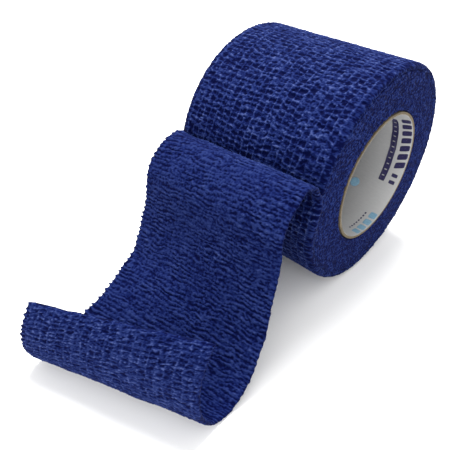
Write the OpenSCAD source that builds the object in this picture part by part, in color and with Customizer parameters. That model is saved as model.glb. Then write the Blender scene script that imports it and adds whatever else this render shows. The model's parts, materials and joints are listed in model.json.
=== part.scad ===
// Partly unrolled cohesive elastic bandage on a board core.
// The roll's axis is X and its centre is the origin. The free strip leaves the roll on the -Y side,
// folds over, drops to the table and curls back at its end. The table is at Z = -roll_d / 2.

/* [Bandage] */
// Width of the bandage, along the roll's axis
bandage_w = 50; // [25:5:100]
// Full thickness of the laminate: two webs with elastic threads between them
strip_t = 1.1; // [0.9:0.05:1.3]
// Thickness of each nonwoven web
web_t = 0.36; // [0.25:0.01:0.36]
// Height of an elastic thread, through the thickness
thread_t = 0.16; // [0.1:0.02:0.16]
// Width of an elastic thread, across the bandage
thread_w = 0.4; // [0.2:0.1:0.8]
// Distance between neighbouring elastic threads
thread_pitch = 2.3; // [1.5:0.1:4]

/* [Roll] */
// Outer diameter of the roll
roll_d = 66.9; // [62:0.1:72]
// Diameter of the hole through the core
bore_d = 38; // [34:0.1:40]
// Thickness of the paper liner inside the core
liner_t = 0.2; // [0.1:0.1:0.4]
// Thickness of each of the core's two board plies
board_t = 0.3; // [0.3:0.1:0.8]
// Radial room between one wound turn and the next
turn_gap = 0.03; // [0.02:0.01:0.05]
// Radial running clearance between the wound turns and the outer lap
run_gap = 0.05; // [0.03:0.01:0.1]

/* [Free strip] */
// Height of the line where the strip leaves the roll, in degrees above the horizontal
peel_angle = 9; // [5:1:14]
// Radius of the fold at the crest, measured at mid thickness like all bend radii
crest_r = 5.4; // [4:0.2:6]
// Turn of the strip over the crest, in degrees
crest_turn = 134; // [125:1:140]
// Radius of the shoulder below the crest
shoulder_r = 18; // [12:1:24]
// Turn of the strip over the shoulder, in degrees
shoulder_turn = 44; // [38:1:50]
// Radius of the belly, where the strip sweeps out to the table
belly_r = 39.5; // [36:0.5:42]
// Turn of the strip through the belly, in degrees
belly_turn = 69; // [64:1:72]
// Radius of the tight curl at the end
curl_r = 6; // [5:0.5:8]
// Turn of the strip through the tight curl, in degrees
curl_turn = 81; // [70:1:90]
// Radius of the loose flap after the curl
flap_r = 20; // [16:1:30]
// Turn of the strip through the flap, in degrees
flap_turn = 60; // [40:1:70]
// Sideways drift of the free strip, towards +X
drift = 7; // [0:0.5:10]
// Angle by which the far end's width is skewed about Z
end_skew = 21; // [0:1:24]
// Slope of the strip's width on the crest and the shoulder, +X edge higher
crest_tilt = 7; // [0:1:9]
// Slope that the belly takes back out
belly_tilt = 11; // [0:1:12]
// Slope that the curl adds, +X edge higher
curl_tilt = 13.5; // [0:0.5:15]

/* [Bend lines] */
// Length of strip from the peel line to the crest bend line
crest_bend_s = 6.5; // [5:0.5:8]
// Length of strip from the peel line to the belly bend line
belly_bend_s = 48; // [40:1:56]
// Length of strip from the peel line to the curl bend line
curl_bend_s = 76; // [72:0.5:80]
// Clearance between a bend's round bead and the end of the length before it
bead_gap = 0.1; // [0.05:0.01:0.12]

/* [Detail] */
// Length of one facet along the free strip
facet_step = 1.7; // [1.6:0.1:1.7]
// Number of facets across each web of the free strip
web_columns = 4; // [4:2:8]

/* [Hidden] */

$fn = 128;
navy = [0.19, 0.26, 0.55];
navy_inner = [0.24, 0.32, 0.60];
thread_colour = [0.35, 0.43, 0.72];
board_colour = [0.55, 0.42, 0.30];
paper_colour = [0.90, 0.91, 0.93];

half_w = bandage_w / 2;
half_t = strip_t / 2;
roll_r = roll_d / 2;
mid_r = roll_r - half_t;
liner_r = bore_d / 2 + liner_t;
inner_ply_r = liner_r + board_t;
core_r = inner_ply_r + board_t;

// The outer lap closes in by one thickness over its full turn, so the turns below end two in.
pack_r = roll_r - 2 * strip_t - run_gap;
turn_count = floor((pack_r - core_r) / (strip_t - 0.05));
turn_pitch = (pack_r - core_r) / turn_count;

thread_count = 2 * floor((half_w - 1.5) / thread_pitch) + 1;
touch_gap = 0.02;
end_margin = 0.2;
far = 2 * roll_d;

// Bead at a bend line: a little inside the strip's faces, so that its wall crosses them cleanly.
bead_r = half_t - 0.05;
bead_inset = 0.2;
bend_clear = half_t + bead_gap;

// ---- Centre line of the free strip, in the Y-Z plane: a chain of tangent arcs ----
bend_r = [crest_r, shoulder_r, belly_r, curl_r, flap_r];
bend_turn = [crest_turn, shoulder_turn, -belly_turn, -curl_turn, -flap_turn];
last_bend = len(bend_r) - 1;

function along(heading) = [cos(heading), sin(heading)];
function left_of(heading) = [-sin(heading), cos(heading)];
function bend_len(i) = bend_r[i] * abs(bend_turn[i]) * PI / 180;
function bend_s(i) = i == 0 ? 0 : bend_s(i - 1) + bend_len(i - 1);
function bend_heading(i) = i == 0 ? 90 - peel_angle : bend_heading(i - 1) + bend_turn[i - 1];
function bend_start(i) = i == 0 ? -mid_r * along(-peel_angle) : on_bend(i - 1, bend_s(i));
function bend_centre(i) = bend_start(i) + sign(bend_turn[i]) * bend_r[i] * left_of(bend_heading(i));
function heading_on(i, s) = bend_heading(i) + sign(bend_turn[i]) * (s - bend_s(i)) / bend_r[i] * 180 / PI;
function on_bend(i, s) = bend_centre(i) - sign(bend_turn[i]) * bend_r[i] * left_of(heading_on(i, s));
function bend_at(s, i = 0) = i < last_bend && s > bend_s(i + 1) ? bend_at(s, i + 1) : i;

strip_len = bend_s(last_bend) + bend_len(last_bend);

// ---- Twist of the strip: smooth changes of skew and tilt with distance s from the peel line ----
skew_start_s = 28;
skew_end_s = 95;
crest_tilt_s = 12;
belly_tilt_s = 41;
belly_tilt_len = 28;
curl_tilt_s = 68;
curl_tilt_len = 24;
peel_offset = 1.2;

function smooth(t) = let (u = min(1, max(0, t))) u * u * (3 - 2 * u);
function skew(s) = end_skew * smooth((s - skew_start_s) / (skew_end_s - skew_start_s));
function tilt(s) = crest_tilt * smooth(s / crest_tilt_s)
    - belly_tilt * smooth((s - belly_tilt_s) / belly_tilt_len)
    + curl_tilt * smooth((s - curl_tilt_s) / curl_tilt_len);
function drift_at(s) = peel_offset + drift * smooth((s - bend_s(1)) / (bend_s(3) - bend_s(1)));
function width_dir(s) = [cos(skew(s)) * cos(tilt(s)), sin(skew(s)) * cos(tilt(s)), sin(tilt(s))];
function mid_point(s) = let (p = on_bend(bend_at(s), s)) [drift_at(s), p.x, p.y];
function travel_dir(s) = let (d = along(heading_on(bend_at(s), s))) [0, d.x, d.y];
function unit(v) = v / norm(v);
function face_dir(s) = unit(cross(width_dir(s), travel_dir(s)));

// Points of one cross-section, as a loop: from a0 to a1 across the strip at depth t0, then back at t1.
function section(s, a0, a1, t0, t1, columns) =
    let (m = mid_point(s), w = width_dir(s), n = face_dir(s))
    [
        for (i = [0 : columns]) m + (a0 + (a1 - a0) * i / columns) * w + t0 * n,
        for (i = [0 : columns]) m + (a1 + (a0 - a1) * i / columns) * w + t1 * n
    ];

// Distances of the cross-sections from s0 to s1. All layers share them, so their facets lie parallel.
function stations(s0, s1) = [
    s0,
    for (k = [ceil((s0 + end_margin) / facet_step) : floor((s1 - end_margin) / facet_step)])
        k * facet_step,
    s1
];

// A layer of the free strip from s0 to s1. Both of its faces are split along the same diagonals.
module band(s0, s1, a0, a1, t0, t1, columns = 1) {
    at = stations(s0, s1);
    loop = 2 * (columns + 1);
    last = loop * (len(at) - 1);
    points = [for (s = at) for (p = section(s, a0, a1, t0, t1, columns)) p];
    sides = [
        for (k = [0 : len(at) - 2], j = [0 : loop - 1])
            let (
                here = loop * k + j,
                here2 = loop * k + (j + 1) % loop,
                next = here + loop,
                next2 = here2 + loop
            )
            for (f = j <= columns
                ? [[here, here2, next2], [here, next2, next]]
                : [[here, here2, next], [here2, next2, next]])
                f
    ];
    near_end = [for (j = [loop - 1 : -1 : 0]) j];
    far_end = [for (j = [0 : loop - 1]) last + j];
    polyhedron(points, concat([near_end], sides, [far_end]));
}

module outer_band(s0, s1) {
    band(s0, s1, -half_w, half_w, half_t - web_t, half_t, web_columns);
}

module inner_band(s0, s1) {
    band(s0, s1, -half_w, half_w, -half_t, -half_t + web_t, web_columns);
}

module thread_bands(s0, s1) {
    for (i = [0 : thread_count - 1]) {
        a = (i - (thread_count - 1) / 2) * thread_pitch;
        band(s0, s1, a - thread_w / 2, a + thread_w / 2, -thread_t / 2, thread_t / 2);
    }
}

// Round bead along the bend line at s, on the bend's own axis.
module bead(s) {
    translate(mid_point(s))
        rotate([0, 90 - tilt(s), skew(s)])
            cylinder(r = bead_r, h = bandage_w - 2 * bead_inset, center = true);
}

// Start of a length of strip, clear of the bead of the web beside it
function after_bead(s) = s + bend_clear;
// End of a length of strip, clear of the next bend's bead
function before_bead(s) = s - bend_clear;

// ---- Round parts of the roll ----
module along_roll() {
    rotate([90, 0, 90])
        children();
}

module tube(r_out, r_in, length, x = 0) {
    translate([x, 0, 0])
        along_roll()
            difference() {
                cylinder(r = r_out, h = length, center = true);
                cylinder(r = r_in, h = length + 2, center = true);
            }
}

// Half of a tube about the roll's axis. The half lies on the side that its turn angle faces.
module half_tube(r_out, r_in, length, x, turn) {
    translate([x, 0, 0])
        along_roll()
            difference() {
                cylinder(r = r_out, h = length, center = true);
                cylinder(r = r_in, h = length + 2, center = true);
                rotate(turn)
                    translate([-far / 2, -far, -far / 2])
                        cube(far);
            }
}

// One layer of the outer lap, depth0..depth1 below the roll's outer face. Its first half runs from
// the peel line under the roll. Its second half runs back over the top, with its centre half a
// thickness further from the peel line, so that the lap ends one thickness below where it began.
module lap_layer(depth0, depth1, length, x = 0) {
    half_tube(roll_r - depth0, roll_r - depth1, length, x, 180 - peel_angle);
    shift = half_t * along(-peel_angle);
    translate([0, shift.x, shift.y])
        half_tube(roll_r - half_t - depth0, roll_r - half_t - depth1, length, x, -peel_angle);
}

module core_liner() {
    color(paper_colour)
        tube(liner_r, bore_d / 2, bandage_w);
}

module core_inner_ply() {
    color(board_colour)
        tube(inner_ply_r, liner_r, bandage_w);
}

module core_outer_ply() {
    color(board_colour)
        tube(core_r, inner_ply_r, bandage_w);
}

module wound_turns() {
    color(navy)
        for (i = [0 : turn_count - 1])
            tube(core_r + (i + 1) * turn_pitch, core_r + i * turn_pitch + turn_gap, bandage_w);
}

module lap_outer_web() {
    color(navy)
        lap_layer(0, web_t, bandage_w);
}

module lap_threads() {
    color(thread_colour)
        for (i = [0 : thread_count - 1])
            lap_layer(half_t - thread_t / 2, half_t + thread_t / 2, thread_w,
                (i - (thread_count - 1) / 2) * thread_pitch);
}

module lap_inner_web() {
    color(navy_inner)
        lap_layer(strip_t - web_t, strip_t, bandage_w);
}

// ---- Lengths of the free strip between the bend lines ----
module rise_outer_web() {
    color(navy)
        outer_band(touch_gap, before_bead(crest_bend_s));
}

module rise_threads() {
    color(thread_colour)
        thread_bands(touch_gap, before_bead(crest_bend_s));
}

module rise_inner_web() {
    color(navy_inner)
        inner_band(touch_gap, before_bead(crest_bend_s));
}

module drop_outer_web() {
    color(navy) {
        outer_band(crest_bend_s, before_bead(belly_bend_s));
        bead(crest_bend_s);
    }
}

module drop_threads() {
    color(thread_colour)
        thread_bands(after_bead(crest_bend_s), before_bead(belly_bend_s));
}

module drop_inner_web() {
    color(navy_inner)
        inner_band(after_bead(crest_bend_s), before_bead(belly_bend_s));
}

module foot_outer_web() {
    color(navy) {
        outer_band(belly_bend_s, before_bead(curl_bend_s));
        bead(belly_bend_s);
    }
}

module foot_threads() {
    color(thread_colour)
        thread_bands(after_bead(belly_bend_s), before_bead(curl_bend_s));
}

module foot_inner_web() {
    color(navy_inner)
        inner_band(after_bead(belly_bend_s), before_bead(curl_bend_s));
}

module curl_outer_web() {
    color(navy) {
        outer_band(curl_bend_s, strip_len);
        bead(curl_bend_s);
    }
}

module curl_threads() {
    color(thread_colour)
        thread_bands(after_bead(curl_bend_s), strip_len);
}

module curl_inner_web() {
    color(navy_inner)
        inner_band(after_bead(curl_bend_s), strip_len);
}

core_liner();
core_inner_ply();
core_outer_ply();
wound_turns();
lap_outer_web();
lap_threads();
lap_inner_web();
rise_outer_web();
rise_threads();
rise_inner_web();
drop_outer_web();
drop_threads();
drop_inner_web();
foot_outer_web();
foot_threads();
foot_inner_web();
curl_outer_web();
curl_threads();
curl_inner_web();
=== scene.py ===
import json

import bpy
import numpy as np
from mathutils import Matrix, Vector

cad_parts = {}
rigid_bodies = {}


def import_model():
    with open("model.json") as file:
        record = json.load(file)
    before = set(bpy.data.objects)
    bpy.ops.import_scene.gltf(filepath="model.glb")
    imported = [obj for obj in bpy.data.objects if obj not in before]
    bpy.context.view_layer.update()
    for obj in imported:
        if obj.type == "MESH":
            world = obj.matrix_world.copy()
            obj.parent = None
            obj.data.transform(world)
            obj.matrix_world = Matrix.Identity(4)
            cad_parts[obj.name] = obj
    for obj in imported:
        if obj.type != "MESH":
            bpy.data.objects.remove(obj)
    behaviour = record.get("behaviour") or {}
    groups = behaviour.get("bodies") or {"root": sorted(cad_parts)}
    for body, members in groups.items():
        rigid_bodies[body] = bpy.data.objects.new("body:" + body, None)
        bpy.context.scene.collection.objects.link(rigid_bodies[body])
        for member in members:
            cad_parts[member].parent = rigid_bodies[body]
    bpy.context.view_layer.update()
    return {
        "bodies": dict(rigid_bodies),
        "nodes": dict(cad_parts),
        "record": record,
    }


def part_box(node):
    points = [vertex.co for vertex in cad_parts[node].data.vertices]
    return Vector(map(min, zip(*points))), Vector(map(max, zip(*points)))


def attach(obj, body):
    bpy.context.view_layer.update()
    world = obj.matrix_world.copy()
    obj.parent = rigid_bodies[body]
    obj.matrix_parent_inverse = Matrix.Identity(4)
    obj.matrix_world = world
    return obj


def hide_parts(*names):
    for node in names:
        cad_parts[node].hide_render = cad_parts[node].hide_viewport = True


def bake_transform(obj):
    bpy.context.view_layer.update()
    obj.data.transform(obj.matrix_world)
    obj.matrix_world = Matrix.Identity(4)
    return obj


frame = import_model()

# Partly unrolled cohesive bandage. Lengths are millimetres until a mesh is made.
# u runs across the cloth, from -HALF_W to HALF_W along +X. s runs along it: 0 at the line where the
# strip leaves the roll, above 0 on the free strip, below 0 on the outer lap.
MM = 0.001
lap_low, lap_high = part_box("lap_outer_web")
ROLL_R = -lap_low.z / MM
HALF_W = lap_high.x / MM
CORE_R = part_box("core_outer_ply")[1].z / MM
PACK_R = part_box("wound_turns")[1].z / MM
BORE_R = next(m["dims"]["r_mm"] for m in frame["record"]["mounts"] if m["name"] == "core_bore")
STRIP_T = 1.1
HALF_T = STRIP_T / 2
MID_R = ROLL_R - HALF_T
PEEL_ANGLE = np.radians(171)

# Centre line of the free strip: (radius, turn in degrees) of its tangent arcs.
BENDS = [(5.4, 134), (18, 44), (39.5, -69), (6, -81), (20, -60)]
BEND_ENDS = np.cumsum([r * np.radians(abs(t)) for r, t in BENDS])
STRIP_LEN = BEND_ENDS[-1]
# The cloth's sideways shift: a little before it leaves the roll, then DRIFT along the long arcs.
PEEL_SHIFT, PEEL_SHIFT_LEN = 1.2, 16
DRIFT = 7
# The strip turns by END_SKEW degrees about the vertical between these two values of s.
END_SKEW, SKEW_FROM, SKEW_TO = 21, 28, 95
# (slope in degrees, start, length) of the three changes in the cloth's sideways slope
TILTS = [(7, 0, 12), (-11, 41, 28), (13.5, 68, 24)]

# Cuts between the pieces of cloth. The lap's end is tucked TUCK under the line at s = 0.
TUCK = 6.0
LAP_FROM, LAP_TO = -2 * np.pi * MID_R - TUCK, -4.0
SEAM_DROP, SEAM_FOOT = 31.0, 62.0

# Spacing of the mesh, and of the threads, rows of pits, crinkles and wound turns.
GRID = 0.21
THREAD_PITCH = 2.3
ROW_PITCH = 1.7
CREPE_PITCH = 1.2
TURN_PITCH = 1.05
# Rounding of the cloth's edges: its depth on the roll, and its reach on the lap and on the strip.
RIM_ROUND = 0.8
LAP_RIM = 1.8
STRIP_RIM = 1.2
# How far the fluffy outer face stands proud on the roll, and gaps that keep pieces from touching.
LOFT = 0.25
CORE_GAP = 0.06
PACK_GAP = 0.05
# Radius at which the specks on the roll's ends have their true length.
GRAIN_R = 27
# How far printed ink stands out of the liner, and how far it reaches into it.
INK_DEPTH = 0.04


# ---------------------------------------------------------------- numbers
def smooth(t):
    t = np.clip(t, 0, 1)
    return t * t * (3 - 2 * t)


def step(low, high, value):
    return smooth((value - low) / (high - low))


def lattice(ix, iy, seed):
    """A fixed pseudo-random number in 0..1 for each pair of whole numbers."""
    mask = np.uint64(0xFFFFFFFF)
    h = ix.astype(np.int64).astype(np.uint64) * np.uint64(374761393)
    h = h + iy.astype(np.int64).astype(np.uint64) * np.uint64(668265263)
    h = (h + np.uint64(seed * 2246822519 % 4294967296)) & mask
    h = ((h ^ (h >> np.uint64(13))) * np.uint64(1274126177)) & mask
    h = ((h ^ (h >> np.uint64(15))) * np.uint64(2246822519)) & mask
    return ((h ^ (h >> np.uint64(16))) & mask).astype(float) / 4294967296


def noise(x, y, seed):
    """Smooth value noise in -1..1."""
    x, y = np.broadcast_arrays(x, y)
    ix, iy = np.floor(x), np.floor(y)
    fx, fy = smooth(x - ix), smooth(y - iy)
    low = lattice(ix, iy, seed) * (1 - fx) + lattice(ix + 1, iy, seed) * fx
    high = lattice(ix, iy + 1, seed) * (1 - fx) + lattice(ix + 1, iy + 1, seed) * fx
    return 2 * (low * (1 - fy) + high * fy) - 1


def bell(distance, width):
    return np.exp(-((distance / width) ** 2))


# ---------------------------------------------------------------- the cloth's path
def centre_line(s):
    """(y, z) of the centre line and its heading, for each s."""
    s = np.asarray(s, float)
    turned = np.maximum(-s, 0) / MID_R
    radius = MID_R - STRIP_T * turned / (2 * np.pi)
    angle = PEEL_ANGLE + turned
    point = np.stack([radius * np.cos(angle), radius * np.sin(angle)], -1)
    heading = angle - np.pi / 2
    at = MID_R * np.array([np.cos(PEEL_ANGLE), np.sin(PEEL_ANGLE)])
    h0, s0 = PEEL_ANGLE - np.pi / 2, 0.0
    for (r, turn), s1 in zip(BENDS, BEND_ENDS):
        side = np.sign(turn)
        centre = at + side * r * np.array([-np.sin(h0), np.cos(h0)])
        here = (s > s0) if s1 == STRIP_LEN else (s > s0) & (s <= s1)
        h = h0 + side * (np.clip(s, s0, None) - s0) / r
        on_arc = centre - side * r * np.stack([-np.sin(h), np.cos(h)], -1)
        point = np.where(here[..., None], on_arc, point)
        heading = np.where(here, h, heading)
        h0 = h0 + np.radians(turn)
        at = centre - side * r * np.array([-np.sin(h0), np.cos(h0)])
        s0 = s1
    return point, heading


def cloth_frame(s):
    """Centre point, width direction and outer-face direction of the cloth, for each s."""
    s = np.asarray(s, float)
    point, heading = centre_line(s)
    x = PEEL_SHIFT * step(-PEEL_SHIFT_LEN, 0, s) + DRIFT * step(BEND_ENDS[0], BEND_ENDS[2], s)
    skew = np.radians(END_SKEW) * step(SKEW_FROM, SKEW_TO, s)
    tilt = sum(np.radians(a) * step(start, start + length, s) for a, start, length in TILTS)
    centre = np.concatenate([x[..., None], point], -1)
    width = np.stack([np.cos(skew) * np.cos(tilt), np.sin(skew) * np.cos(tilt), np.sin(tilt)], -1)
    travel = np.stack([0 * s, np.cos(heading), np.sin(heading)], -1)
    face = np.cross(width, travel)
    face /= np.linalg.norm(face, axis=-1, keepdims=True)
    return centre, width, face


# ---------------------------------------------------------------- relief of the faces
def net_face(u, s):
    """Outer face: thin lengthwise threads and cross ridges with pits between; its tone holds painted
    shade in the pits and painted highlight on the ridges and threads. (height, tone)
    """
    # Off the roll the cloth relaxes: its pits get shallower and its rows draw together.
    depth_scale = 1 - 0.42 * step(3, 14, s)
    s = s + 0.36 * np.maximum(0, s - 8)
    column = (u + 0.3 * noise(u / 5, s / 6, 11) + 0.3 * noise(u / 1.3, s / 1.5, 12)) / THREAD_PITCH
    col = np.floor(column)
    across = column - col
    to_thread = np.minimum(across, 1 - across) * THREAD_PITCH
    beside = np.where(across < 0.5, col - 1, col + 1)

    def own_phase(c):
        """Each column's rows sit a little off its neighbours'."""
        return 0.26 * noise(c * 3, s / 9, 15) + 0.13 * noise(c * 3, s / 2.4, 16)

    mix = 0.5 - 0.5 * step(0, 0.5, to_thread)
    phase = s / ROW_PITCH + 0.5 * noise(u / 9, s / 9, 13) + 0.16 * noise(u / 1.8, s / 1.9, 14)
    phase = phase + 0.12 * noise(u / 0.6, s / 0.8, 24)
    phase = phase + own_phase(col) * (1 - mix) + own_phase(beside) * mix
    row = np.floor(phase)
    up = phase - row
    to_ridge = np.minimum(up, 1 - up) * ROW_PITCH

    own = lattice(col, row, 17)
    own2 = lattice(col, row, 18)
    crowd = 0.5 + 0.5 * noise(u / 4, s / 20, 19)
    depth = (0.35 + 0.45 * own + 0.3 * crowd) * depth_scale
    lean = (up - 0.5 + 0.16 * noise(u / 1.1, s / 3, 30)) * ROW_PITCH
    pit = bell(lean, 0.34 + 0.3 * own) * step(0.02, 0.3 + 0.45 * own2, to_thread)
    pit = pit * (0.8 + 0.45 * noise(u / 0.7, s / 0.4, 25))
    fibre = 1 - np.abs(noise(u / 1.25 + 0.5 * noise(u / 0.9, s / 0.9, 26), s / 0.85, 27))
    fibre = fibre**7 * (0.55 + 0.45 * noise(u / 2, s / 2, 28))
    branch = (own2 > 0.45) * bell(up - 0.32 - 0.36 * own, 0.1) * step(0.1, 0.6, to_thread)
    fine = noise(u / 0.42, s / 0.3, 20)
    fuzz = noise(u / 0.24, s / 0.24, 21)
    ridge = bell(to_ridge, 0.16) * (0.6 + 0.4 * noise(u / 0.8, row * 7.3, 22))
    ridge = np.maximum(ridge, 0.75 * branch)
    thread = bell(to_thread, 0.13) * (0.45 + 0.55 * noise(col * 5, s / 1.6, 23))
    line = np.maximum(np.maximum(ridge, 0.75 * thread), 0.6 * fibre) * (0.45 + 0.55 * depth_scale)
    dash = noise(u / 0.95 + 0.3 * row, s / 0.36, 29)
    height = 0.12 - 0.5 * pit * depth + 0.18 * line + 0.07 * dash + 0.06 * fine + 0.04 * fuzz
    # The tone is painted shade in the pits, darker the deeper they are, and painted highlight on the
    # raised ridges and threads.
    tone = 0.45 - 1.3 * pit * depth + 0.5 * line + 0.3 * dash + 0.4 * fine + 0.2 * fuzz
    return height, tone


def crepe_face(u, s):
    """Inner face: short broken crinkles that run across the cloth; its tone holds painted highlight on
    the crests and painted shade in the grooves. (height, tone)
    """
    ws = s + 0.55 * noise(u / 5.5, s / 4.5, 32) + 0.32 * noise(u / 2.3, s / 1.9, 33)
    ws = ws + 0.17 * noise(u / 1.1, s / 1.0, 34) + 0.26 * noise(u / 4, s / 1.15, 42)
    phase = ws / CREPE_PITCH
    row = np.floor(phase)
    up = phase - row
    length = 0.5 + 0.5 * noise((u + 0.6 * ws) / 1.6, row * 5.7, 35)
    crest = bell(up - 0.42, 0.19) * (0.08 + 0.92 * length)
    groove_part = lattice(np.floor(u / 2.1 + 0.4 * row), row, 41)
    groove = bell(np.minimum(up, 1 - up), 0.15) * (0.1 + 0.9 * groove_part)
    second = noise(u / 0.8 + 0.4 * ws, ws / 0.34, 36)
    speck = noise(u / 0.5, s / 0.38, 40)
    patch = 0.85 + 0.4 * noise(u / 6, s / 5, 38)
    fine = noise(u / 0.4, s / 0.26, 39)
    form = 0.7 * crest - 0.8 * groove + 0.36 * second + 0.3 * speck
    # The crinkles stand higher over the crest.
    creased = 1 + 0.5 * bell(s - 9, 9)
    height = creased * patch * 0.29 * form + 0.07 * fine
    # The tone is painted highlight on the crinkles' crests and painted shade in their grooves.
    tone = 0.36 + patch * 0.98 * form + 0.4 * fine
    return height, np.minimum(tone, 0.56 + 0.4 * (tone - 0.56))


def end_grain(y, z, seed):
    """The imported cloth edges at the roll's ends: short specks along the turns. (height, tone)"""
    r = np.hypot(y, z)
    arc = np.arctan2(z, y) * GRAIN_R
    r = r + 0.35 * noise(arc / 2.3, r / 1.6, seed + 4)
    dash = noise(arc / 0.6, r / 0.32, seed)
    speck = noise(y / 0.32, z / 0.32, seed + 1)
    fine = noise(y / 0.22, z / 0.22, seed + 2)
    cloud = noise(y / 3.1, z / 3.1, seed + 3)
    height = 0.15 * dash + 0.16 * speck + 0.05 * fine + 0.07 * cloud
    tone = 0.5 * dash + 0.75 * speck + 0.45 * fine + 0.05 * cloud
    return height, 0.3 + np.where(tone > 0, 0.55, 1.8) * tone


# ---------------------------------------------------------------- meshes
def make_object(name, points, faces, tone, cloth_uv, material, rows=0):
    """A mesh of quads. With rows, its first and last rows are cut ends, each closed by a flat face."""
    mesh = bpy.data.meshes.new(name)
    quads = np.asarray(faces, np.int32).ravel()
    corners, starts = quads, np.arange(0, quads.size, 4, dtype=np.int32)
    if rows:
        columns = len(points) // rows
        near_end = np.arange(columns, dtype=np.int32)[::-1]
        far_end = np.arange(columns, dtype=np.int32) + (rows - 1) * columns
        corners = np.concatenate([quads, near_end, far_end])
        starts = np.append(starts, [quads.size, quads.size + columns]).astype(np.int32)
    mesh.vertices.add(len(points))
    mesh.vertices.foreach_set("co", (np.asarray(points) * MM).ravel())
    mesh.loops.add(corners.size)
    mesh.loops.foreach_set("vertex_index", corners)
    mesh.polygons.add(len(starts))
    mesh.polygons.foreach_set("loop_start", starts)
    mesh.polygons.foreach_set("use_smooth", starts < quads.size)
    attribute = mesh.attributes.new("tone", "FLOAT", "POINT")
    attribute.data.foreach_set("value", np.asarray(tone, np.float32).ravel())
    layer = mesh.uv_layers.new(name="cloth")
    layer.data.foreach_set("uv", np.asarray(cloth_uv, np.float32)[corners].ravel())
    mesh.update(calc_edges=True)
    if rows:
        ends = np.empty(len(mesh.edges) * 2, np.int32)
        mesh.edges.foreach_get("vertices", ends)
        row = ends.reshape(-1, 2) // columns
        hard = (row[:, 0] == row[:, 1]) & ((row[:, 0] == 0) | (row[:, 0] == rows - 1))
        sharp = mesh.attributes.new("sharp_edge", "BOOLEAN", "EDGE")
        sharp.data.foreach_set("value", hard)
    mesh.validate()
    mesh.materials.append(material)
    obj = bpy.data.objects.new(name, mesh)
    bpy.context.scene.collection.objects.link(obj)
    return obj


def sweep_faces(rows, columns, closed_rows):
    """Quads between neighbouring rows, each row a closed loop of columns points."""
    i, j = np.meshgrid(np.arange(rows if closed_rows else rows - 1), np.arange(columns), indexing="ij")
    i2, j2 = (i + 1) % rows, (j + 1) % columns
    quads = np.stack([i * columns + j, i * columns + j2, i2 * columns + j2, i2 * columns + j], -1)
    return quads.reshape(-1, 4)


def edge_round(edge_in, reach):
    """0 away from an edge, rising to 1 at the edge as a quarter circle does."""
    return 1 - np.sqrt(np.clip(1 - (1 - np.clip(edge_in / reach, 0, 1)) ** 2, 0, 1))


def cloth_grid(s):
    """(u, s) at every point of a face, one row for each s."""
    return np.meshgrid(np.linspace(-HALF_W, HALF_W, int(round(2 * HALF_W / GRID)) + 1), s)


def strip_loop(s):
    """The free strip, both faces in full detail: a closed loop of (points, tones, uv) for each s."""
    uu, ss = cloth_grid(s)
    centre, width, face = (part[:, None] for part in cloth_frame(s))
    free = step(-1, 5, ss)
    edge_in = HALF_W - np.abs(uu)
    rim = edge_round(edge_in, STRIP_RIM * free + LAP_RIM * (1 - free))

    # Ragged edges: the side at -X is the more frayed one.
    tooth = (ss + 0.5 * noise(ss / 2.1, 0, 50)) / 1.55
    nib_length = 0.35 + 0.65 * lattice(np.floor(tooth), 0 * ss, 51)
    nib = bell(tooth - np.floor(tooth) - 0.5, 0.19) * nib_length
    left = 1.1 * nib - 0.45 + 0.12 * noise(ss / 0.6, 0, 52)
    right = 0.16 * noise(ss / 0.9, 0, 53) + 0.1 * noise(ss / 3.6, 0, 54) - 0.15
    ragged = np.where(uu < 0, -left, right) * (1 - np.clip(edge_in / 1.3, 0, 1)) ** 2 * free

    swell = 0.2 * noise(uu / 7, ss / 5, 55) * free + 0.1 * noise(uu / 11, ss / 13, 56)
    curl = 0.45 * noise(ss / 5, np.sign(uu), 57) * (np.abs(uu) / HALF_W) ** 5 * free
    to_end = STRIP_LEN - ss
    rim = np.maximum(rim, edge_round(to_end, 0.9))
    cut = 0.3 * noise(uu / 0.7, 0, 58) + 0.25 * noise(uu / 2.6, 0, 59) - 0.35
    cut = cut * (1 - np.clip(to_end / 1.6, 0, 1)) ** 2

    # Painted light and shade on the curled end: its outer face is painted a little lighter, and its
    # hollow is painted darker as shade.
    out_h, out_tone = net_face(uu, ss)
    in_h, in_tone = crepe_face(uu, ss)
    out_tone = out_tone + 0.04 * step(82, 90, ss)
    in_tone = in_tone - 0.16 * bell(ss - 80, 12)

    out_d = HALF_T + LOFT * (1 - free) + out_h * (1 - rim) + swell + curl
    out_d = out_d - rim * (0.82 * HALF_T * free + RIM_ROUND * (1 - free))
    in_d = -HALF_T - in_h * (1 - rim) * free + rim * 0.82 * HALF_T * free + swell + curl
    base = centre + (uu + ragged)[..., None] * width + cut[..., None] * np.cross(face, width)
    outer = base + out_d[..., None] * face
    inner = base + in_d[..., None] * face
    points = np.concatenate([outer, inner[:, ::-1]], 1)
    tone = np.concatenate([out_tone - 0.25 * rim * free, (in_tone - 0.1 * rim)[:, ::-1]], 1)
    uv = np.stack([np.concatenate([uu, uu[:, ::-1]], 1), np.concatenate([ss, ss], 1)], -1)
    return points, tone, uv


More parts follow.
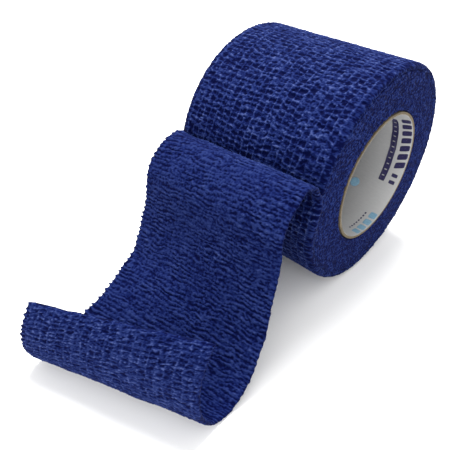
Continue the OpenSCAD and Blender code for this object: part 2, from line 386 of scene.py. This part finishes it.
def lap_loop(s):
    """The outer lap: a netted face with round rims, grainy sides and a plain hidden face."""
    uu, ss = cloth_grid(s)
    point, _ = centre_line(s)
    angle = np.arctan2(point[:, 1], point[:, 0])[:, None]
    mid = np.hypot(point[:, 0], point[:, 1])[:, None]
    x_shift = PEEL_SHIFT * step(-PEEL_SHIFT_LEN, 0, s)[:, None]
    # Where two layers lie over each other, the upper one is as thin as the cloth.
    under = step(-TUCK - 1.2, -TUCK - 0.2, s)[:, None]
    inner_r = (mid - HALF_T) * under + (PACK_R + PACK_GAP) * (1 - under)

    edge_in = HALF_W - np.abs(uu)
    rim = edge_round(edge_in, LAP_RIM)
    net_h, net_tone = net_face(uu, ss)
    # The tucked end lies lower, so that it doesn't come through the cloth over it.
    sunk = 0.6 * (1 - step(-3, 5, ss + 2 * np.pi * MID_R))
    swell = 0.1 * noise(uu / 11, ss / 13, 56) - sunk
    r_out = mid + HALF_T + LOFT + net_h * (1 - rim) - RIM_ROUND * rim + swell
    grain_h, grain_tone = end_grain(r_out * np.cos(angle), r_out * np.sin(angle), 61)
    near_rim = 1 - step(0.2, 2.2, edge_in)
    r_out = r_out + 0.6 * grain_h * near_rim * (1 - rim)
    tone = net_tone * (1 - near_rim) + grain_tone * near_rim
    x_out = uu + np.sign(uu) * 0.7 * grain_h * rim

    sides = []
    down = np.linspace(0, 1, 12)[1:]
    for side, seed in ((1, 61), (-1, 71)):
        r = r_out[:, -1 if side > 0 else 0][:, None] * (1 - down) + inner_r * down
        h, t = end_grain(r * np.cos(angle), r * np.sin(angle), seed)
        edge_thread = bell(r - (mid - 0.35), 0.14) * (0.5 + 0.5 * noise(s[:, None] / 3.1, 0, seed + 5))
        x = side * (HALF_W + (0.7 * h + 0.08 * edge_thread) * (1 - down**6) - 0.25 * down**6)
        order = slice(None) if side > 0 else slice(None, None, -1)
        sides.append((x[:, order], r[:, order], (t + 0.3 * edge_thread)[:, order]))
    inner_u = np.linspace(HALF_W - 1, 1 - HALF_W, 7)[None] + 0 * mid
    x = np.concatenate([x_out, sides[0][0], inner_u, sides[1][0]], 1)
    r = np.concatenate([r_out, sides[0][1], inner_r + 0 * inner_u, sides[1][1]], 1)
    tone = np.concatenate([tone, sides[0][2], 0.3 + 0 * inner_u, sides[1][2]], 1)
    points = np.stack([x + x_shift, r * np.cos(angle), r * np.sin(angle)], -1)
    uv = np.stack([x, s[:, None] + 0 * x], -1)
    return points, tone, uv


def cloth_piece(name, loop, s_from, s_to, material):
    """A closed length of the cloth between two cuts."""
    s = np.linspace(s_from, s_to, int(round((s_to - s_from) / GRID)) + 1)
    points, tone, uv = loop(s)
    rows, columns = tone.shape
    faces = sweep_faces(rows, columns, False)
    return make_object(name, points.reshape(-1, 3), faces, tone, uv.reshape(-1, 2), material, rows)


def wound_edges(name, material):
    """The wound turns between core and outer lap: a ring with packed cloth edges at each end."""
    inner_r = CORE_R + CORE_GAP
    r = np.linspace(inner_r, PACK_R, int(round((PACK_R - inner_r) / GRID)) + 1)
    angle = np.linspace(0, 2 * np.pi, int(round(2 * np.pi * GRAIN_R / GRID)), endpoint=False)
    aa, rr = np.meshgrid(angle, r, indexing="ij")
    sides = []
    for seed in (61, 71):
        height, tone = end_grain(rr * np.cos(aa), rr * np.sin(aa), seed)
        turn = (rr - CORE_R) / TURN_PITCH + aa / (2 * np.pi)
        ply = np.abs(2 * (turn - np.floor(turn)) - 1)
        # Painted shade: next to the core the cloth edges sink into the gap and are painted darker.
        gap = 1 - step(0, 0.7, rr - inner_r)
        height = 0.7 * height - 0.05 * ply**4 - 0.7 * gap
        sides.append((HALF_W + height, tone - 0.05 * ply**4 - 0.3 * gap))
    x = np.concatenate([sides[0][0], -sides[1][0][:, ::-1]], 1)
    tone = np.concatenate([sides[0][1], sides[1][1][:, ::-1]], 1)
    aa, rr = np.concatenate([aa, aa], 1), np.concatenate([rr, rr[:, ::-1]], 1)
    points = np.stack([x, rr * np.cos(aa), rr * np.sin(aa)], -1)
    uv = np.stack([rr, aa * GRAIN_R], -1)
    faces = sweep_faces(*rr.shape, True)
    return make_object(name, points.reshape(-1, 3), faces, tone, uv.reshape(-1, 2), material)


def printed_marks(name, outlines, material):
    """Thin shapes printed inside the liner. Each outline is a star-shaped loop of (x, degrees)."""
    rings = 6
    points, quads = [], []
    for outline in outlines:
        outline = np.array(outline, float)
        middle = outline.mean(0)
        count = len(outline)
        start = len(points)
        reach = np.linspace(1, 0.02, rings)
        for r, order in ((BORE_R - INK_DEPTH, reach), (BORE_R + INK_DEPTH, reach[::-1])):
            for k in order:
                x, turn = (middle + k * (outline - middle)).T
                turn = np.radians(turn)
                points.extend(np.stack([x, r * np.cos(turn), r * np.sin(turn)], -1))
        quads.append(sweep_faces(2 * rings, count, True) + start)
    points = np.array(points)
    tone = np.ones(len(points))
    return make_object(name, points, np.concatenate(quads), tone, points[:, :2], material)


def mark_block(x0, x1, turn0, turn1, slant=0.0):
    """A rounded block, as an outline for printed_marks. slant shifts its far side, in degrees."""
    outline = []
    points, squareness = 40, 0.35
    mid_x, mid_t = (x0 + x1) / 2, (turn0 + turn1) / 2
    for k in range(points):
        c, s = np.cos(2 * np.pi * k / points), np.sin(2 * np.pi * k / points)
        dx = np.sign(c) * abs(c) ** squareness * (x1 - x0) / 2
        dt = np.sign(s) * abs(s) ** squareness * (turn1 - turn0) / 2
        outline.append((mid_x + dx, mid_t + dt + slant * dx / (x1 - x0)))
    return outline


def mark_disc(x, turn, radius):
    """A round dot, as an outline for printed_marks."""
    to_degrees = 180 / np.pi / BORE_R
    steps = np.linspace(0, 2 * np.pi, 36, endpoint=False)
    return [(x + radius * np.cos(a), turn + radius * to_degrees * np.sin(a)) for a in steps]


# ---------------------------------------------------------------- materials
class Nodes:
    """Short helpers for one material's node tree."""

    def __init__(self, name, roughness):
        self.material = bpy.data.materials.new(name)
        self.material.use_nodes = True
        self.tree = self.material.node_tree
        self.tree.nodes.clear()
        self.output = self.add("ShaderNodeOutputMaterial")
        self.shader = self.add("ShaderNodeBsdfPrincipled")
        self.shader.inputs["Roughness"].default_value = roughness
        self.link(self.shader.outputs[0], self.output.inputs["Surface"])

    def add(self, kind, **values):
        node = self.tree.nodes.new(kind)
        for key, value in values.items():
            setattr(node, key, value)
        return node

    def link(self, a, b):
        self.tree.links.new(a, b)

    def value(self, source, socket):
        if isinstance(source, (int, float)):
            socket.default_value = source
        else:
            self.link(source, socket)

    def math(self, operation, a, b=0.0, c=0.0):
        node = self.add("ShaderNodeMath", operation=operation)
        for source, socket in zip((a, b, c), node.inputs):
            self.value(source, socket)
        return node.outputs[0]

    def coordinates(self, kind, scale=(1, 1, 1)):
        if kind == "cloth":
            source = self.add("ShaderNodeUVMap", uv_map="cloth").outputs[0]
        else:
            source = self.add("ShaderNodeTexCoord").outputs["Object"]
        mapping = self.add("ShaderNodeMapping")
        mapping.inputs["Scale"].default_value = scale
        self.link(source, mapping.inputs["Vector"])
        return mapping.outputs[0]

    def noise(self, vector, scale, detail=2.0, roughness=0.5):
        node = self.add("ShaderNodeTexNoise")
        node.inputs["Scale"].default_value = scale
        node.inputs["Detail"].default_value = detail
        node.inputs["Roughness"].default_value = roughness
        self.link(vector, node.inputs["Vector"])
        return node.outputs["Fac"]

    def ramp(self, factor, stops):
        node = self.add("ShaderNodeValToRGB")
        elements = node.color_ramp.elements
        while len(elements) < len(stops):
            elements.new(0.5)
        for element, (position, colour) in zip(elements, stops):
            element.position = position
            element.color = (*colour, 1)
        self.value(factor, node.inputs["Fac"])
        return node.outputs["Color"]

    def bump(self, height, strength, distance, normal=None):
        node = self.add("ShaderNodeBump")
        node.inputs["Strength"].default_value = strength
        node.inputs["Distance"].default_value = distance
        self.link(height, node.inputs["Height"])
        if normal is not None:
            self.link(normal, node.inputs["Normal"])
        return node.outputs[0]


def cloth_material(name, dark, mid, light, bright, fibre_stretch, fibre_depth):
    """Matt dyed crepe with fine fuzz and soft clouds; its colour follows the tone, with painted shade
    in its hollows and painted highlight on its fibres.
    """
    n = Nodes(name, 0.9)
    tone = n.add("ShaderNodeAttribute", attribute_name="tone").outputs["Fac"]
    fibre = n.noise(n.coordinates("cloth", fibre_stretch), 1.0, 4.0, 0.7)
    fuzz = n.noise(n.coordinates("object"), 5200.0, 2.0, 0.6)
    cloud = n.noise(n.coordinates("object"), 75.0, 3.0, 0.6)
    factor = n.math("MULTIPLY_ADD", fibre, fibre_depth, n.math("SUBTRACT", tone, fibre_depth / 2))
    factor = n.math("MULTIPLY_ADD", fuzz, 0.3, n.math("SUBTRACT", factor, 0.15))
    factor = n.math("MULTIPLY_ADD", cloud, 0.2, n.math("SUBTRACT", factor, 0.1))
    colour = n.ramp(factor, [(0.0, dark), (0.34, mid), (0.74, light), (1.0, bright)])
    n.link(colour, n.shader.inputs["Base Color"])
    n.link(n.math("MULTIPLY_ADD", fuzz, 0.2, 0.76), n.shader.inputs["Roughness"])
    n.shader.inputs["Specular IOR Level"].default_value = 0.04
    n.shader.inputs["Sheen Weight"].default_value = 0.022
    n.shader.inputs["Sheen Roughness"].default_value = 0.5
    n.shader.inputs["Sheen Tint"].default_value = (0.5, 0.6, 1.0, 1)
    coarse = n.bump(fibre, 0.4, 0.00015)
    n.link(n.bump(fuzz, 0.4, 0.0001, coarse), n.shader.inputs["Normal"])
    return n.material


def board_material():
    """Grey-brown wound board: short fibres, blotches and rubbed edges."""
    n = Nodes("core_board", 0.85)
    fibre = n.noise(n.coordinates("object", (0.25, 1, 1)), 2600.0, 4.0, 0.65)
    blotch = n.noise(n.coordinates("object"), 320.0, 3.0)
    factor = n.math("MULTIPLY_ADD", blotch, 0.5, n.math("MULTIPLY", fibre, 0.5))
    stops = [(0.25, (0.04, 0.028, 0.013)), (0.5, (0.1, 0.074, 0.038)), (0.75, (0.2, 0.155, 0.09))]
    n.link(n.ramp(factor, stops), n.shader.inputs["Base Color"])
    n.link(n.bump(fibre, 0.5, 0.0001), n.shader.inputs["Normal"])
    return n.material


def paper_material():
    """Smooth liner paper with a faint grain and brown at its cut ends, painted darker towards mid
    length as shade deep inside the bore.
    """
    n = Nodes("liner_paper", 0.5)
    grain = n.noise(n.coordinates("object", (0.3, 1, 1)), 2400.0, 4.0, 0.6)
    cast = n.noise(n.coordinates("object"), 55.0, 2.0)
    factor = n.math("MULTIPLY_ADD", cast, 0.2, n.math("MULTIPLY", grain, 0.15))
    # Painted shade: the liner is darker towards mid length, deep inside the bore, and lighter towards
    # its open ends.
    axial = n.add("ShaderNodeSeparateXYZ")
    n.link(n.coordinates("object"), axial.inputs[0])
    factor = n.math("MULTIPLY_ADD", n.math("ABSOLUTE", axial.outputs[0]), 25.0, factor)
    normal = n.add("ShaderNodeSeparateXYZ")
    n.link(n.add("ShaderNodeNewGeometry").outputs["Normal"], normal.inputs[0])
    cut_end = n.math("GREATER_THAN", n.math("ABSOLUTE", normal.outputs[0]), 0.5)
    factor = n.math("SUBTRACT", factor, cut_end)
    stops = [(0.0, (0.12, 0.09, 0.05)), (0.12, (0.1, 0.102, 0.105)), (0.8, (0.42, 0.42, 0.42))]
    n.link(n.ramp(factor, stops), n.shader.inputs["Base Color"])
    n.link(n.math("MULTIPLY_ADD", grain, 0.2, 0.4), n.shader.inputs["Roughness"])
    n.link(n.bump(grain, 0.25, 0.00005), n.shader.inputs["Normal"])
    return n.material


def ink_material(name, dark, light):
    """Printed ink that lets a little of the paper's grain through."""
    n = Nodes(name, 0.45)
    grain = n.noise(n.coordinates("object", (0.3, 1, 1)), 2800.0, 4.0, 0.7)
    n.link(n.ramp(grain, [(0.35, dark), (0.75, light)]), n.shader.inputs["Base Color"])
    n.link(n.bump(grain, 0.2, 0.00004), n.shader.inputs["Normal"])
    return n.material


def floor_material():
    """Plain white table with a barely visible mottle."""
    n = Nodes("floor_pale", 0.9)
    grain = n.noise(n.coordinates("object"), 30.0, 2.0)
    stops = [(0.3, (0.9, 0.9, 0.9)), (0.7, (0.92, 0.92, 0.92))]
    n.link(n.ramp(grain, stops), n.shader.inputs["Base Color"])
    return n.material


# Cloth colours from the painted shade in the hollows to the painted highlight on the highest fibres.
NAVY = (
    (0.0003, 0.0016, 0.028),
    (0.0038, 0.0095, 0.068),
    (0.0165, 0.029, 0.119),
    (0.05, 0.072, 0.205),
)
EDGE_NAVY = (
    (0.0002, 0.0013, 0.028),
    (0.003, 0.0092, 0.077),
    (0.0125, 0.026, 0.128),
    (0.04, 0.065, 0.2),
)
outer_cloth = cloth_material("outer_cloth", *NAVY, (1.7, 3.2, 1), 0.5)
edge_cloth = cloth_material("edge_cloth", *EDGE_NAVY, (4.6, 4.6, 1), 2.4)
board = board_material()
paper = paper_material()
navy_ink = ink_material("navy_ink", (0.008, 0.006, 0.045), (0.02, 0.016, 0.08))
pale_ink = ink_material("pale_ink", (0.13, 0.27, 0.38), (0.22, 0.38, 0.5))

# ---------------------------------------------------------------- pieces
laps = []
cuts = np.linspace(LAP_TO, LAP_FROM, 4)
for label, high, low in zip(("under", "back", "top"), cuts[:-1], cuts[1:]):
    laps.append(cloth_piece("lap_cloth_" + label, lap_loop, low, high, outer_cloth))
strip_crest = cloth_piece("strip_crest", strip_loop, LAP_TO, SEAM_DROP, outer_cloth)
strip_belly = cloth_piece("strip_belly", strip_loop, SEAM_DROP, SEAM_FOOT, outer_cloth)
strip_curl = cloth_piece("strip_curl", strip_loop, SEAM_FOOT, STRIP_LEN, outer_cloth)
turn_ends = wound_edges("wound_turn_edges", edge_cloth)

# Generic print inside the core, in (x, degrees): ticked bars, a row of blocks, a paler row and a dot.
navy_marks = [mark_block(18.1, 18.8, -33, 36), mark_block(19.6, 20.3, -33, 36)]
navy_marks += [mark_block(18.4, 20.0, turn, turn + 5.0) for turn in range(-33, 34, 6)]
navy_marks += [mark_block(21.5, 24.7, turn, turn + 6.2, 4) for turn in range(-16, 40, 9)]
navy_marks += [mark_block(21.8, 23.8, turn, turn + 3.6) for turn in (-26, -33)]
navy_marks += [mark_block(20.7, 21.2, turn, turn + 2.2) for turn in range(-100, -70, 4)]
pale_marks = [mark_block(22.3, 24.6, turn, turn + 7.5) for turn in (-104, -94, -84, -74)]
pale_marks += [mark_disc(11.5, -45, 1.6)]
navy_print = printed_marks("liner_print_navy", navy_marks, navy_ink)
pale_print = printed_marks("liner_print_pale", pale_marks, pale_ink)


def strip_point(s):
    centre, _, _ = cloth_frame(np.array([float(s)]))
    return Vector(centre[0] * MM)


# The lap, the wound turn edges and the print ride on bodies; the strip's pieces are baked in place.
for piece in laps:
    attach(piece, "lap")
for piece in (turn_ends, navy_print, pale_print):
    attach(piece, "roll")
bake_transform(strip_crest)
belly_way = strip_point(60) - strip_point(36)
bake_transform(strip_belly)
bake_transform(strip_curl)

# The three lengths of the lap stand for its three layers, and each length of the strip for all the
# layers it covers.
LAYERS = ("_outer_web", "_threads", "_inner_web")
for piece, layer in zip(laps, LAYERS):
    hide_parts("lap" + layer)
for piece, parts in ((strip_crest, ["rise"]), (strip_belly, ["drop"]), (strip_curl, ["foot", "curl"])):
    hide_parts(*(part + layer for part in parts for layer in LAYERS))
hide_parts("wound_turns")

for node, material in (("core_liner", paper), ("core_inner_ply", board), ("core_outer_ply", board)):
    frame["nodes"][node].data.materials.clear()
    frame["nodes"][node].data.materials.append(material)

# ---------------------------------------------------------------- floor, light and camera
TABLE = Vector((0, 0, -(ROLL_R + 0.75) * MM))
bpy.ops.mesh.primitive_plane_add(size=3, location=TABLE)
floor = bpy.context.object
floor.name = "floor"
floor.data.materials.append(floor_material())

# The table lies under the roll, or under the strip at poses where the strip hangs lower than that.
probes = [("lap", TABLE)]
for body, places in (("drop", (40, 48)), ("foot", (58, 66, 74)), ("curl", (80, 86, 92, 98, STRIP_LEN))):
    for s in places:
        centre, width, _ = (part[0] for part in cloth_frame(np.array([float(s)])))
        for side in (-HALF_W, HALF_W):
            probes.append((body, Vector((centre + side * width) * MM)))
lowest = floor.driver_add("location", 2).driver
lowest.type = "MIN"
for body, place in probes:
    probe = bpy.data.objects.new("probe", None)
    bpy.context.scene.collection.objects.link(probe)
    probe.parent = frame["bodies"][body]
    probe.location = place
    reading = lowest.variables.new()
    reading.type = "TRANSFORMS"
    reading.targets[0].id = probe
    reading.targets[0].transform_type = "LOC_Z"
    reading.targets[0].transform_space = "WORLD_SPACE"

world = bpy.data.worlds.new("soft_room")
bpy.context.scene.world = world
world.use_nodes = True
background = world.node_tree.nodes["Background"]
background.inputs["Color"].default_value = (1, 1, 1, 1)
background.inputs["Strength"].default_value = 1.0
bpy.context.scene.view_settings.view_transform = "Standard"


def area_light(name, place, target, size, power):
    data = bpy.data.lights.new(name, "AREA")
    data.shape = "DISK"
    data.size = size
    data.energy = power
    light = bpy.data.objects.new(name, data)
    light.location = place
    light.rotation_euler = (Vector(target) - Vector(place)).to_track_quat("-Z", "Y").to_euler()
    bpy.context.scene.collection.objects.link(light)


area_light("key", (-0.15, 0.12, 0.6), (0, -0.02, 0), 0.3, 6.0)
area_light("fill", (0.25, -0.5, 0.35), (0, -0.03, 0), 0.5, 2.0)

# Camera: azimuth 0 looks along +Y, 90 along -X. Its focal length is given in widths of its picture.
CAMERA_PLACE = Vector((77.1, -124.8, 78.0))
CAMERA_AZIMUTH, CAMERA_ELEVATION, CAMERA_ROLL = np.radians((41.83, 37.34, 2.17))
FOCAL_WIDTHS = 1.13111
back = Vector((
    np.sin(CAMERA_AZIMUTH) * np.cos(CAMERA_ELEVATION),
    -np.cos(CAMERA_AZIMUTH) * np.cos(CAMERA_ELEVATION),
    np.sin(CAMERA_ELEVATION),
))
level_right = (-back).cross(Vector((0, 0, 1))).normalized()
level_up = level_right.cross(-back)
right = np.cos(CAMERA_ROLL) * level_right + np.sin(CAMERA_ROLL) * level_up
up = -np.sin(CAMERA_ROLL) * level_right + np.cos(CAMERA_ROLL) * level_up
camera_data = bpy.data.cameras.new("camera")
camera_data.lens = camera_data.sensor_width * FOCAL_WIDTHS
camera_data.clip_start = 0.01
camera = bpy.data.objects.new("camera", camera_data)
turned = Matrix((right, up, back)).transposed().to_4x4()
camera.matrix_world = Matrix.Translation(CAMERA_PLACE * MM) @ turned
bpy.context.scene.collection.objects.link(camera)
bpy.context.scene.camera = camera
